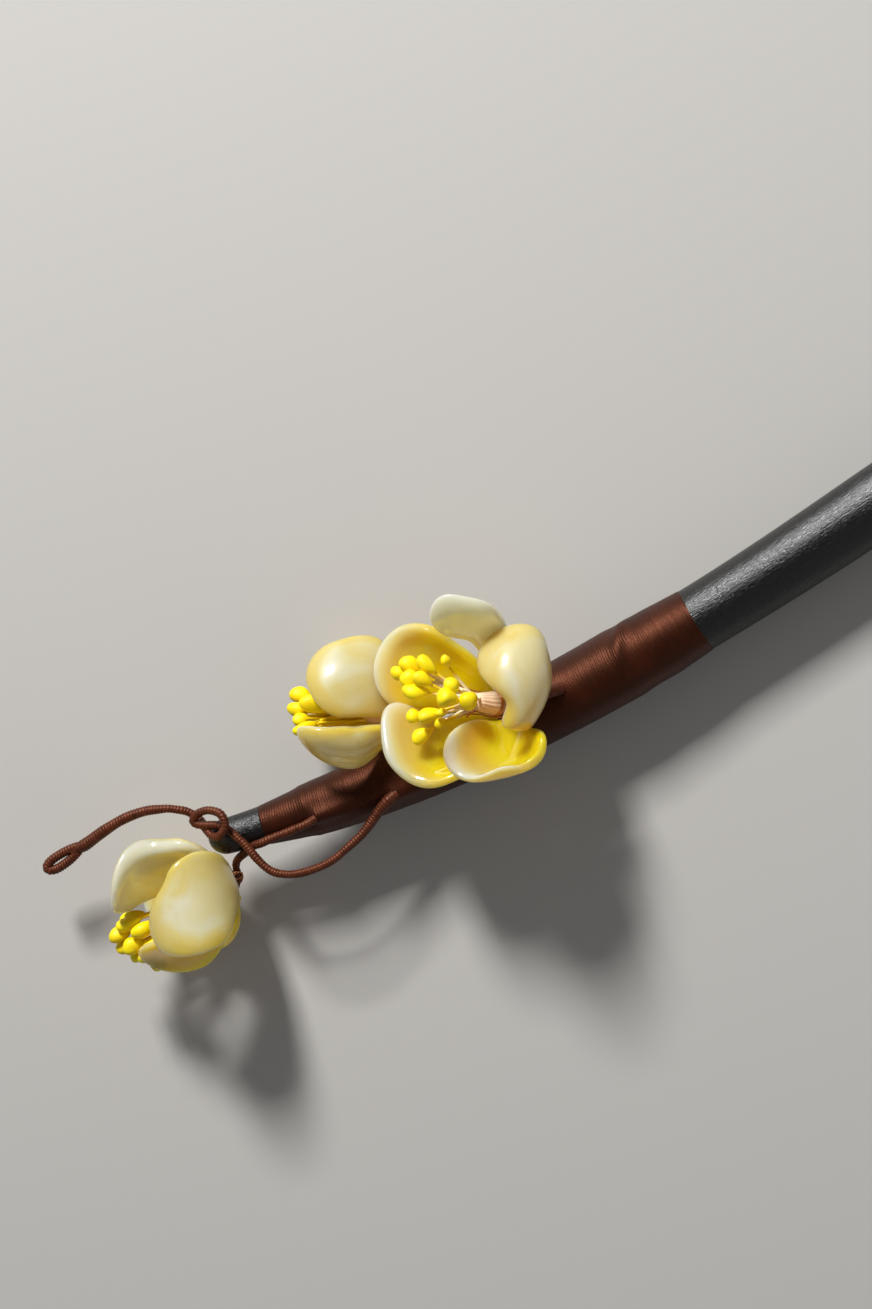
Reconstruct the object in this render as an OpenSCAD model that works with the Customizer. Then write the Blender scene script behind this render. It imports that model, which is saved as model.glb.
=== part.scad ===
// Ebony hair stick wound with silk thread, with three glass blossoms and a wire tendril.
// It lies as it rests: far end and lowest petals on z = 0, the stick's length along x.

/* [Stick] */
// thickness at the middle of the bare stretch
stick_d = 8.9; // [6:0.1:12]
// thickness just behind the rounded thin end
tip_d = 4.4; // [3:0.1:6]
// thickness just before the rounded far end
end_d = 3.0; // [2:0.1:6]

/* [Thread winding] */
// how thick the thread lies on the two thin sections
wrap_thin = 0.4; // [0.2:0.05:0.6]
// how thick the thread lies on the middle section
wrap_thick = 0.6; // [0.4:0.05:1.2]

/* [Wires] */
// thickness of the blossom stem with its thread
stem_d = 1.04; // [0.8:0.02:1.6]
// thickness of the tendril with its thread
tendril_d = 1.06; // [0.8:0.02:1.6]
// thickness of the doubled end of the tendril
tendril_end_d = 1.6; // [1.2:0.1:2.4]
// thickness of the fine copper wire
copper_d = 0.3; // [0.2:0.02:0.5]

/* [Blossoms] */
// thickness of a glass petal
glass_t = 1.0; // [0.6:0.1:1.4]
// thickness of the thread-bound bundle in the middle
core_d = 2.8; // [2:0.1:3]
// thickness of a filament
filament_d = 0.36; // [0.2:0.02:0.6]
// thickness of a stamen head
head_d = 1.6; // [1:0.1:2]

/* [Node] */
// one node, or all of them

/* [Hidden] */

ebony = [0.05, 0.05, 0.05];
silk = [0.24, 0.11, 0.07];
milk_glass = [0.87, 0.80, 0.55];
yellow = [0.98, 0.83, 0.05];
cream = [0.85, 0.68, 0.52];
copper = [0.75, 0.48, 0.30];

// the points below are laid out from the middle of the blossom end; this brings the middle
// of the whole piece to x = 0, y = 0
place = [-40.89, 5.58, -0.01];

// the stick: its middle line bends as y = sum of bend[i] * x^i, and rises toward the thin end
bend = [-12.02, -0.0822, 0.00207, -0.0000116, 0.000000032];
stick_from = -36.4;
stick_to = 138.5;
stick_rise = 0.0375;
stick_sides = 20;
// thickness along the bare stick: [x, part of stick_d]; the two ends have their own sizes
girth = [[-26, 0.60], [-18, 0.71], [-8, 0.80], [2, 0.86], [12, 0.90], [24, 0.93], [36, 0.945],
         [50, 0.985], [58, 1], [66, 0.94], [78, 0.845], [98, 0.675], [118, 0.505]];
// past this the girth runs straight to the far end's own thickness
girth_end = 118;
// how far from each end the rounding starts
tip_round = 2.4;
far_round = 2;
// stations before, along and after the winding, shared by stick and winding so that they match
fore_stations = [-34, -32];
wrap_stations = [-29.4, -26.5, -23.9, -23.5, -18, -12, -6, 0, 6, 12, 17, 20.6, 21.2, 25.5, 30.2];
wrap_step_in = -23.7;
wrap_step_out = 20.9;
bare_stations = [36, 42, 48, 54, 60, 67, 74, 82, 90, 98, 106, 114, 122, 130, 134.5];
wrap_gap = 0.03;

// tip stem: [x, y, z] along its middle
stem_route = [
    [-22.2, -9.9, 11.6], [-24.1, -10.0, 11.4], [-25.7, -9.8, 11.1], [-27.2, -9.6, 11.0],
    [-29.1, -9.3, 10.9], [-30.3, -9.2, 10.7], [-31.3, -9.0, 10.2], [-32.2, -9.1, 9.7],
    [-33.4, -9.3, 8.8], [-34.4, -9.5, 8.2], [-35.1, -10.0, 7.65], [-35.5, -10.8, 7.3]];

// tendril: [x, y, z, how far along to the doubled end's thickness]
tendril_route = [
    [-13.3, -12.6, 11.4, 0], [-14.9, -13.0, 11.0, 0], [-16.2, -13.6, 10.9, 0],
    [-18.3, -14.5, 10.9, 0], [-19.8, -14.9, 11.0, 0], [-21.4, -15.2, 11.1, 0],
    [-23.0, -15.5, 11.2, 0], [-24.8, -15.5, 11.3, 0], [-27.0, -15.1, 11.4, 0],
    [-28.5, -14.6, 11.4, 0], [-29.7, -13.9, 11.4, 0], [-30.6, -13.1, 11.4, 0],
    [-31.2, -12.0, 11.4, 0], [-31.6, -10.5, 11.4, 0], [-31.8, -9.2, 11.4, 0],
    [-32.0, -8.1, 11.4, 0], [-32.3, -7.3, 11.3, 0], [-32.6, -6.4, 11.1, 0],
    [-32.9, -5.6, 11.0, 0], [-33.2, -5.0, 10.9, 0], [-33.8, -4.5, 10.8, 0],
    [-35.1, -3.8, 10.6, 0], [-36.0, -3.2, 10.5, 0], [-36.4, -2.7, 10.5, 0],
    [-36.2, -2.3, 10.6, 0], [-35.6, -2.0, 10.8, 0], [-34.8, -2.0, 11.1, 0],
    [-33.9, -2.2, 11.5, 0], [-33.1, -2.7, 11.9, 0], [-32.5, -3.4, 12.2, 0],
    [-32.4, -4.1, 12.4, 0], [-32.6, -4.9, 12.4, 0], [-33.1, -5.4, 12.3, 0],
    [-33.8, -5.7, 12.1, 0], [-34.5, -5.7, 11.7, 0], [-35.1, -5.3, 11.1, 0],
    [-35.4, -4.6, 10.5, 0], [-35.6, -3.7, 9.8, 0], [-35.7, -3.1, 9.2, 0],
    [-35.9, -2.3, 9.1, 0], [-36.3, -1.6, 9.1, 0], [-36.8, -0.9, 9.2, 0],
    [-37.5, -0.3, 9.4, 0], [-38.4, 0.4, 9.5, 0], [-39.6, 1.0, 9.6, 0],
    [-41.0, 1.6, 9.6, 0.1], [-42.7, 2.0, 9.5, 0.3], [-44.4, 2.2, 9.3, 0.5],
    [-46.0, 2.2, 9.1, 0.7], [-47.9, 2.1, 8.7, 0.9], [-49.9, 1.9, 8.3, 1],
    [-51.2, 1.9, 8.0, 0.9], [-52.3, 1.9, 7.8, 0.7]];
// the eye at its end: middle, half length, half width, lean of its plane
eye_at = [-54.4, 1.8, 7.5];
eye_long = 1.9;
eye_wide = 0.85;
eye_wire_d = 1.0;
eye_lean = 8;
eye_turn = 2;

// the direction that the blossoms are posed about
facing = [0.139, 0, 0.990];
// blossoms: [root, direction that it opens to, foot of its stalk, thickness of its stalk]
front = [[5.2, -9.5, 14.0], [-0.524, 0.451, 0.723], [10.6, -11.2, 11.6], 1.6];
back = [[-8.0, -4.3, 6.3], [-0.760, 0.608, 0.230], [-4.6, -6.5, 6.6], 1.6];
tip = [[-36.9, -11.7, 7.1], [-0.940, 0.054, 0.336], [-35.7, -11.2, 7.2], 1.1];
// the petals' roots stand this far from the blossom's middle line
root_off = 2.1;
// the bundle: a little thicker where the petals' roots are bound on, a little thinner at its front
collar_d = core_d + 0.4;
collar_back = 1.0;
collar_front = 1.2;
stalk_top = 1.4;
bundle_len = 2.6;
bundle_taper = 0.8;
// the turn of fine wire, and the pad that the filaments stand on
wire_at = 1.1;
wire_gap = 0.05;
pad_part = 0.7;
pad_h = 0.8;
pad_gap = 0.05;
filament_sunk = 0.3;

// petals: azimuth round the opening direction, opening angle, sideways turn, roll, length, width,
// curl along, cup across, depth of the notch, where the notch is, curl of the tip, narrowing to the root,
// where it is widest; then lobes of the outline (sine of the way round, cosine and sine of twice and
// three times it)
// and the wave of its rim in mm (cosine and sine of twice and three times the way round)
AZ = 0; OPEN = 1; YAW = 2; ROLL = 3; LEN = 4; WID = 5; CURL = 6; CUP = 7; NOTCH = 8; NOTCH_AT = 9; TIP = 10;
CLAW = 11; WIDEST = 12; LOBES = 13; WAVE = 14;
front_top = [91.6, 65, 1.9, 31.9, 16.3, 8.6, 75, -25, 0.06, -10, -12, 0.7, 0.62,
    [-0.16, 0.28, 0.23, -0.14, -0.05], [0, 0.5, -0.5, -0.5]];
front_near = [16.6, 121.2, -19, -21.5, 15, 15.2, 166, 31, 0.18, -50, 36, 0.62, 0.55,
    [0, 0.08, 0, -0.01, 0.07], [-1.7, -1, -0.1, -0.2]];
front_low = [-51.5, 71.4, -5.6, -43.8, 12.6, 13.8, 18, 71, 0.3, 35, 24, 0.62, 0.55,
    [-0.18, -0.09, 0.09, 0.12, 0.01], [0, 1.1, 0.9, -0.3]];
front_left = [-126.5, 55.8, 0.1, -10.1, 14.8, 14.2, 48, 37, 0.13, -36, -6, 0.62, 0.55,
    [0.03, 0.11, -0.23, -0.12, 0.01], [0, 0.3, 0.1, -0.7]];
front_back = [162.9, 50.9, -6.1, -6.8, 14.9, 13.8, 6, 20, 0.26, -102, 6, 0.62, 0.55,
    [-0.06, 0.02, 0.04, 0, 0.04], [-0.9, -0.1, -0.6, 0.4]];
back_top = [27.2, 59.1, 8.4, -21.3, 13.9, 12.6, 83, 26, 0.09, 35, 15, 0.62, 0.55,
    [-0.02, 0.04, -0.06, 0, 0.01], [-0.3, -0.1, -0.2, 0.2]];
back_low = [-25.4, 76.7, -12.8, -16, 14.9, 8.4, 81, 41, 0.23, 80, 16, 0.62, 0.55,
    [0.03, 0.17, -0.08, -0.01, -0.08], [-0.2, 0.7, -0.6, -0.7]];
back_far = [-111.5, 35, -11, -6.5, 12.4, 10.2, 74, 41, 0.04, 0, 0, 0.62, 0.55,
    [0, 0, 0, 0, 0], [0, 0, 0, 0]];
back_rear = [179, 63, 1, -18, 12, 11, 69, 30, 0.05, 0, 0, 0.62, 0.55,
    [0, 0, 0, 0, 0], [0, 0, 0, 0]];
back_high = [109, 59, -0.5, -11.5, 12, 10.9, 73, 34, 0.05, 0, 0, 0.62, 0.55,
    [0, 0, 0, 0, 0], [0, 0, 0, 0]];
tip_near = [6.4, 86.5, 0.6, -5.8, 15.8, 12.7, 113, 7, 0.15, 25, 14, 0.54, 0.5,
    [-0.22, 0.1, -0.11, -0.06, -0.01], [0.1, 0.6, 0.2, 0.1]];
tip_cup = [110, 13.6, -25.1, 9.5, 14.8, 13.8, -18, -11, 0.03, 3, 24, 0.62, 0.55,
    [0.1, 0.05, 0.04, 0.16, 0.03], [-0.2, 2, -0.3, 0.1]];
tip_low = [-66, 28.6, 3.4, 6.6, 14.7, 9.6, 43, -24, 0.03, 54, 6, 0.62, 0.55,
    [-0.02, 0, 0.04, 0.07, -0.03], [0.4, 0.4, 0, -0.2]];
tip_far = [-149.4, 88, 6.9, 11.5, 11.2, 8.9, 116, 19, 0.14, 68, 1, 0.62, 0.55,
    [0.08, -0.02, -0.02, -0.03, 0], [-0.3, 0.1, -0.4, 0.2]];
tip_rear = [166.4, 55.5, 1.4, 31.2, 13.3, 8.6, 61, 59, 0.19, -61, -16, 0.62, 0.55,
    [0.05, -0.14, -0.01, 0, -0.04], [0.1, -0.5, 0.4, 0.1]];

petal_rings = [0.3, 0.6, 0.84, 0.95, 1];
petal_sectors = 24;
// the tip's own curl: where it starts, about which part of the length, and how slowly it sets in
tip_from = 0.45;
tip_hinge = 0.5;
tip_ease = 0.3;
notch_spread = 24;
// the glass thins over the last of the way to the rim
rim_loss = 0.8;
rim_power = 8;

// stamen heads: [x, y, z, part of head_d, long as well as round]
front_heads = [
    [-1.7, 0.6, 17.5, 1, 1.2], [0.2, -0.4, 19.0, 1, 1.2], [-3.5, 0.2, 17.0, 0.9, 1.2],
    [-2.4, -1.0, 18.5, 1, 1.2], [-1.0, -1.7, 20.0, 0.9, 1.2], [-2.7, -2.6, 19.5, 1, 1.4],
    [2.1, -4.3, 22.0, 1, 1.2], [0.9, -5.3, 22.8, 1.2, 1.2], [2.8, -6.9, 21.8, 1.1, 1.2],
    [-4.3, -5.1, 19.0, 0.8, 1.1], [-2.5, -5.9, 20.5, 1, 1.3], [-0.9, -6.5, 21.5, 0.6, 1.2],
    [-1.7, -7.5, 20.5, 0.6, 1.2], [-4.8, -7.7, 19.0, 0.9, 1.3], [2.6, -1.3, 19.0, 0.6, 1.2]];
back_heads = [
    [-17.1, 4.3, 7.0, 1, 1.3], [-14.4, 3.7, 9.0, 0.9, 1.3], [-18.0, 2.8, 9.0, 1, 1.3],
    [-15.8, 2.5, 10.5, 1, 1.6], [-18.1, 1.6, 10.4, 0.8, 1.2], [-18.0, 0.3, 12.0, 0.9, 1.7]];
tip_heads = [
    [-51.3, -9.9, 11.0, 0.75, 1.5], [-50.5, -9.7, 8.6, 0.8, 1.5], [-48.5, -10.9, 12.8, 1, 1.3],
    [-50.8, -12.4, 10.2, 0.75, 1.4], [-49.9, -13.8, 11.0, 0.7, 1.3], [-49.7, -14.8, 9.9, 0.65, 1.3]];

function unit(v) = v / norm(v);
function turned(v, n, a) = v * cos(a) + cross(n, v) * sin(a) + n * (n * v) * (1 - cos(a));
function at_x(x) = [x, bend[0] + x * (bend[1] + x * (bend[2] + x * (bend[3] + x * bend[4]))),
                    end_d / 2 + stick_rise * (stick_to - x)];
function stick_r(x) = x < girth[0][0]
    ? tip_d / 2 + (lookup(girth[0][0], girth) * stick_d - tip_d) / 2
                  * (x - stick_from - tip_round) / (girth[0][0] - stick_from - tip_round)
    : x > girth_end ? lookup(girth_end, girth) * stick_d / 2
                      + (end_d - lookup(girth_end, girth) * stick_d) / 2
                        * (x - girth_end) / (stick_to - far_round - girth_end)
    : lookup(x, girth) * stick_d / 2;
function wrap_r(x) = stick_r(x) + (x > wrap_step_in && x < wrap_step_out ? wrap_thick : wrap_thin);

// one ring of points about p, square to the direction t
function ring(p, t, r, sides) =
    let (u = unit(cross(t, [0, 0, 1])), w = cross(u, unit(t)))
    [for (i = [0:sides - 1]) p + r * (u * cos(360 * i / sides) + w * sin(360 * i / sides))];
function along(pts, i) = unit(pts[min(i + 1, len(pts) - 1)] - pts[max(i - 1, 0)]);
function flat(rings) = [for (r = rings) for (p = r) p];

// a closed tube through the points, with a thickness at each
module tube(pts, radii, sides) {
    n = len(pts);
    rings = [for (i = [0:n - 1]) ring(pts[i], along(pts, i), radii[i], sides)];
    walls = [for (i = [0:n - 2]) for (j = [0:sides - 1])
        let (a = i * sides + j, b = i * sides + (j + 1) % sides) [a, b, b + sides, a + sides]];
    near_cap = [[for (j = [sides - 1:-1:0]) j]];
    far_cap = [[for (j = [0:sides - 1]) (n - 1) * sides + j]];
    polyhedron(points = flat(rings), faces = concat(walls, near_cap, far_cap), convexity = 6);
}

module placed() translate(place) children();

// the stick's two rounded ends close over their last stretch
function dome(t) = sqrt(1 - pow(1 - t, 2));

module stick() {
    tip_dome = [for (t = [0.06, 0.25, 0.6]) [stick_from + t * tip_d / 2, dome(t) * tip_d / 2 * 0.97]];
    end_dome = [for (t = [0.6, 0.25, 0.06]) [stick_to - t * end_d / 2, dome(t) * end_d / 2]];
    body = [for (x = concat(fore_stations, wrap_stations, bare_stations)) [x, stick_r(x)]];
    rows = concat(tip_dome, body, end_dome);
    color(ebony) placed()
        tube([for (r = rows) at_x(r[0])], [for (r = rows) r[1]], stick_sides);
}

// the thread lies round the stick as a sleeve with a thick middle section
module thread_wrap() {
    n = len(wrap_stations);
    s = stick_sides;
    mids = [for (x = wrap_stations) at_x(x)];
    // the same cross directions as the stick's own rings
    all_mids = [for (x = concat([fore_stations[1]], wrap_stations, [bare_stations[0]])) at_x(x)];
    outer = [for (i = [0:n - 1]) ring(mids[i], along(all_mids, i + 1), wrap_r(wrap_stations[i]), s)];
    inner = [for (i = [0:n - 1])
        ring(mids[i], along(all_mids, i + 1), stick_r(wrap_stations[i]) + wrap_gap, s)];
    m = n * s;
    out_walls = [for (i = [0:n - 2]) for (j = [0:s - 1])
        let (a = i * s + j, b = i * s + (j + 1) % s) [a, b, b + s, a + s]];
    in_walls = [for (f = out_walls) [f[3] + m, f[2] + m, f[1] + m, f[0] + m]];
    near_face = [for (j = [0:s - 1]) let (k = (j + 1) % s) [k, j, j + m, k + m]];
    far_face = [for (j = [0:s - 1]) let (k = (j + 1) % s, e = (n - 1) * s)
        [e + j, e + k, e + k + m, e + j + m]];
    color(silk) placed()
        polyhedron(points = concat(flat(outer), flat(inner)),
                   faces = concat(out_walls, in_walls, near_face, far_face), convexity = 6);
}

module tip_stem()
    color(silk) placed() tube(stem_route, [for (p = stem_route) stem_d / 2], 8);

module tendril() {
    middle = [for (p = tendril_route) [p[0], p[1], p[2]]];
    radii = [for (p = tendril_route) (tendril_d + p[3] * (tendril_end_d - tendril_d)) / 2];
    color(silk) placed() union() {
        tube(middle, radii, 8);
        translate(eye_at) rotate([0, eye_lean, eye_turn]) eye();
    }
}

// the eye: the wire bent back on itself in a narrow closed loop
module eye() {
    turns = 14;
    s = 8;
    pts = [for (i = [0:turns - 1]) let (a = 360 * i / turns) [eye_long * cos(a), eye_wide * sin(a), 0]];
    rings = [for (i = [0:turns - 1])
        let (a = 360 * i / turns, t = unit([-eye_long * sin(a), eye_wide * cos(a), 0]),
             u = cross(t, [0, 0, 1]))
        [for (j = [0:s - 1]) let (b = 360 * j / s)
            pts[i] + eye_wire_d / 2 * (0.9 * u * cos(b) + [0, 0, 1] * sin(b))]];
    polyhedron(points = flat(rings),
               faces = [for (i = [0:turns - 1]) for (j = [0:s - 1])
                   let (a = i * s + j, b = i * s + (j + 1) % s, c = (i + 1) % turns * s)
                   [a, b, c + (j + 1) % s, c + j]],
               convexity = 6);
}

// a petal's own directions: along, across, inward, and where its root is
function petal_frame(b, p) =
    let (a = unit(b[1]), e0 = unit(facing - a * (a * facing)), e1 = cross(a, e0),
         e = e0 * cos(p[AZ]) + e1 * sin(p[AZ]),
         d0 = a * cos(p[OPEN]) + e * sin(p[OPEN]), n0 = a * sin(p[OPEN]) - e * cos(p[OPEN]),
         b0 = cross(n0, d0))
    [for (v = [d0, b0, n0]) turned(turned(v, d0, p[ROLL]), n0, p[YAW])];
function petal_root(b, p) =
    let (a = unit(b[1]), e0 = unit(facing - a * (a * facing)), e1 = cross(a, e0))
    b[0] + root_off * (e0 * cos(p[AZ]) + e1 * sin(p[AZ]));

// the first few waves round the petal, each as strong as its part of the list
function waves(k, psi) =
    k[0] * cos(2 * psi) + k[1] * sin(2 * psi) + k[2] * cos(3 * psi) + k[3] * sin(3 * psi);
function lobes(k, psi) = k[0] * sin(psi) + waves([k[1], k[2], k[3], k[4]], psi);

// a point of the petal at part rho of the way to the rim in direction psi, and off its middle
function petal_point(p, rho, psi, off) =
    let (c = cos(psi), d = (psi - p[NOTCH_AT] + 540) % 360 - 180, free = 1 - pow(max(0, -c), 2),
         cut = (1 - p[NOTCH] * exp(-pow(d / notch_spread, 2)) * rho * rho)
               * (1 + rho * free * lobes(p[LOBES], psi)),
         reach = (c > 0 ? 1 - p[WIDEST] : p[WIDEST]) * p[LEN],
         x = p[WIDEST] * p[LEN] + rho * reach * c * cut,
         y = rho * p[WID] / 2 * sin(psi) * cut * (1 - p[CLAW] * pow(max(0, -c), 1.3)),
         out = off + rho * rho * free * waves(p[WAVE], psi),
         bend_r = p[LEN] / (p[CURL] * PI / 180), th = p[CURL] * x / p[LEN],
         cup_r = p[WID] / 2 / (p[CUP] * PI / 180), ph = p[CUP] * y / (p[WID] / 2),
         inn = cup_r * (1 - cos(ph)) + out * cos(ph),
         hinge = bend_r * [sin(p[CURL] * tip_hinge), 1 - cos(p[CURL] * tip_hinge)],
         q = [bend_r * sin(th) - sin(th) * inn, bend_r * (1 - cos(th)) + cos(th) * inn] - hinge,
         t = p[TIP] * pow(max(0, x / p[LEN] - tip_from), 2) / tip_ease)
    [hinge[0] + q[0] * cos(t) - q[1] * sin(t), cup_r * sin(ph) - out * sin(ph),
     hinge[1] + q[0] * sin(t) + q[1] * cos(t)];
function petal_half(rho) = glass_t / 2 * sqrt(1 - rim_loss * pow(rho, rim_power));

module petal(b, p) {
    f = petal_frame(b, p);
    o = petal_root(b, p);
    s = petal_sectors;
    n = len(petal_rings);
    sides = [-1, 1];
    local = [for (side = sides) each concat([petal_point(p, 0, 0, side * petal_half(0))],
        [for (rho = petal_rings) for (j = [0:s - 1])
            petal_point(p, rho, 360 * j / s, side * petal_half(rho))])];
    pts = [for (q = local) o + q[0] * f[0] + q[1] * f[1] + q[2] * f[2]];
    m = 1 + n * s;
    hub = [for (j = [0:s - 1]) [0, 1 + j, 1 + (j + 1) % s]];
    web = [for (i = [0:n - 2]) for (j = [0:s - 1])
        let (a = 1 + i * s + j, c = 1 + i * s + (j + 1) % s) each [[a, a + s, c + s], [a, c + s, c]]];
    outside = concat(hub, web);
    inside = [for (g = outside) [g[2] + m, g[1] + m, g[0] + m]];
    e = 1 + (n - 1) * s;
    rim = [for (j = [0:s - 1]) let (k = (j + 1) % s)
        each [[e + j, e + j + m, e + k + m], [e + j, e + k + m, e + k]]];
    color(milk_glass) placed()
        polyhedron(points = pts, faces = concat(outside, inside, rim), convexity = 8);
}

// the stalk from the stick, widening into the bundle that the petals sit round
module core(b) {
    a = unit(b[1]);
    pts = [b[2], (b[2] + b[0] - stalk_top * a) / 2, b[0] - collar_back * a, b[0],
           b[0] + collar_front * a, b[0] + bundle_len * a];
    radii = [b[3] / 2, b[3] / 2, core_d / 2, collar_d / 2, core_d / 2, core_d / 2 * bundle_taper];
    color(cream) placed() tube(pts, radii, 12);
}

// a turn of fine wire round the bundle, in front of the petals' roots
module wire(b) {
    a = unit(b[1]);
    color(copper) placed() translate(b[0] + wire_at * a) lay_along(a)
        rotate_extrude($fn = 32)
            translate([core_d / 2 + copper_d / 2 + wire_gap, 0]) circle(d = copper_d, $fn = 14);
}

// turns z to point along v
module lay_along(v)
    rotate([0, acos(v[2] / norm(v)), atan2(v[1], v[0])]) children();

module stamens(b, heads) {
    a = unit(b[1]);
    from = b[0] + (bundle_len + pad_gap) * a;
    color(yellow) placed() union() {
        translate(from) lay_along(a) cylinder(d = core_d * pad_part, h = pad_h, $fn = 24);
        for (h = heads) {
            to = [h[0], h[1], h[2]];
            way = to - from;
            translate(from + filament_sunk * a) lay_along(way - filament_sunk * a)
                cylinder(d = filament_d, h = norm(way), $fn = 14);
            translate(to) lay_along(way) scale([1, 1, h[4]]) sphere(d = head_d * h[3], $fn = 20);
        }
    }
}

stick();
thread_wrap();
tip_stem();
tendril();
core(front);  // front_core
wire(front);  // front_wire
stamens(front, front_heads);  // front_stamens
petal(front, front_top);  // front_petal_top
petal(front, front_near);  // front_petal_near
petal(front, front_low);  // front_petal_low
petal(front, front_left);  // front_petal_left
petal(front, front_back);  // front_petal_back
core(back);  // back_core
wire(back);  // back_wire
stamens(back, back_heads);  // back_stamens
petal(back, back_top);  // back_petal_top
petal(back, back_low);  // back_petal_low
petal(back, back_far);  // back_petal_far
petal(back, back_rear);  // back_petal_rear
petal(back, back_high);  // back_petal_high
core(tip);  // tip_core
wire(tip);  // tip_wire
stamens(tip, tip_heads);  // tip_stamens
petal(tip, tip_near);  // tip_petal_near
petal(tip, tip_cup);  // tip_petal_cup
petal(tip, tip_low);  // tip_petal_low
petal(tip, tip_far);  // tip_petal_far
petal(tip, tip_rear);  // tip_petal_rear
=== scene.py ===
from collections import namedtuple
from math import atan2, cos, degrees, exp, hypot, pi, radians, sin, sqrt

import bmesh
import bpy
import numpy as np
from mathutils import Matrix, Vector


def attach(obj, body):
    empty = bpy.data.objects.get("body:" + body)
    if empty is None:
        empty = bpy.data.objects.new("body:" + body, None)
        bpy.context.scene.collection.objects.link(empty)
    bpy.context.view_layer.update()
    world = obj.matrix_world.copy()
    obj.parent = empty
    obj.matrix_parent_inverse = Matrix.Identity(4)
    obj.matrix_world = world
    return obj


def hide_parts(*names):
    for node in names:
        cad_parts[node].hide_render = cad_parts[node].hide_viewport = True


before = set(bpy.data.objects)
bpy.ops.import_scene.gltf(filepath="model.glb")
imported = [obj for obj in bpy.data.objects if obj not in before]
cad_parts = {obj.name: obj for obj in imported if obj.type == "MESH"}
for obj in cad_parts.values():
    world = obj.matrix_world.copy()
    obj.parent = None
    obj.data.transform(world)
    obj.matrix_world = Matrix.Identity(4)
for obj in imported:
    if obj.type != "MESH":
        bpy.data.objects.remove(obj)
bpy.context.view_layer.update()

# The stick
# The hair stick is one length of ebony, turned, bent a little and polished by hand. It is thinnest
# at its rounded tip, fullest just past the thread, and tapers to the far end that goes in the hair.

# Sizes are in millimetres from the middle of the blossom end; HOME brings them to the frame.
HOME = Vector((-40.89, 5.58, -0.01))
STICK_D = 8.9
TIP_D = 4.4
END_D = 3.0
STICK_FROM = -36.4
STICK_TO = 138.5
TIP_ROUND = 2.4
FAR_ROUND = 2.0
STICK_RISE = 0.0375
# how far to the side the stick's middle lies: parts of 1, x, x squared and so on
BEND = (-12.02, -0.0822, 0.00207, -0.0000116, 0.000000032)
# x, part of STICK_D
GIRTH = ((-26, .60), (-18, .71), (-8, .80), (2, .86), (12, .90), (24, .93), (36, .945), (50, .985),
         (58, 1), (66, .94), (78, .845), (98, .675), (118, .505))
STICK_SIDES = 48
STICK_RINGS = 170
TIP_RINGS = 10
FAR_RINGS = 8
# how finely the taper is worked out, and how far each corner of it is rounded off in those steps
TAPER_STEPS = 400
TAPER_REACH = 12


def stick_middle(x):
    aside = sum(part * x ** power for power, part in enumerate(BEND))
    return Vector((x, aside, END_D / 2 + STICK_RISE * (STICK_TO - x)))


def stick_radius(x):
    places = [STICK_FROM + TIP_ROUND] + [place for place, part in GIRTH] + [STICK_TO - FAR_ROUND]
    widths = [TIP_D] + [part * STICK_D for place, part in GIRTH] + [END_D]
    return float(np.interp(x, places, widths)) / 2


def smooth(values, reach):
    """Rounds off the corners in a row of evenly spaced values."""
    values = np.asarray(values, float)
    ends = [(reach, reach)] + [(0, 0)] * (values.ndim - 1)
    longer = np.pad(values, ends, mode="reflect", reflect_type="odd")
    weight = np.hanning(2 * reach + 3)[1:-1]
    weight /= weight.sum()
    return sum(w * longer[i:i + len(values)] for i, w in enumerate(weight))


def rod(route, sides, radius):
    """A straight rod of unit length, cut into rings, then bent along the route. radius(part, turn,
    mm) gives the half thickness; every point keeps its place on the straight rod for the grain."""
    rings = len(route)
    bm = bmesh.new()
    bmesh.ops.create_cone(bm, cap_ends=True, segments=sides, radius1=1, radius2=1, depth=1)
    long_edges = [e for e in bm.edges if abs(e.verts[0].co.z - e.verts[1].co.z) > 0.5]
    bmesh.ops.subdivide_edges(bm, edges=long_edges, cuts=rings - 2, use_grid_fill=True)
    ahead = [(route[min(i + 1, rings - 1)] - route[max(i - 1, 0)]).normalized() for i in range(rings)]
    side = Vector((0, 0, 1)).cross(ahead[0]).normalized()
    stations, far = [], [0.0]
    for i in range(rings):
        side = (side - ahead[i] * side.dot(ahead[i])).normalized()
        stations.append((route[i], side, ahead[i].cross(side)))
        if i:
            far.append(far[-1] + (route[i] - route[i - 1]).length)
    grain = bm.verts.layers.float_vector.new("straight")
    for v in bm.verts:
        i = round((v.co.z + 0.5) * (rings - 1))
        turn = atan2(v.co.y, v.co.x)
        r = radius(i / (rings - 1), turn, far[i])
        middle, u, w = stations[i]
        v[grain] = Vector((r * cos(turn), r * sin(turn), far[i]))
        v.co = middle + u * (r * cos(turn)) + w * (r * sin(turn))
    return bm


def piece(name, bm, replaces=()):
    """Brings the millimetres to the frame and makes the mesh a piece of the object."""
    bmesh.ops.translate(bm, verts=bm.verts, vec=HOME)
    bmesh.ops.scale(bm, verts=bm.verts, vec=(0.001, 0.001, 0.001))
    for f in bm.faces:
        f.smooth = True
    mesh = bpy.data.meshes.new(name)
    bm.to_mesh(mesh)
    bm.free()
    obj = bpy.data.objects.new(name, mesh)
    bpy.context.collection.objects.link(obj)
    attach(obj, "root")
    if replaces:
        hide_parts(*replaces)
    return obj


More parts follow.
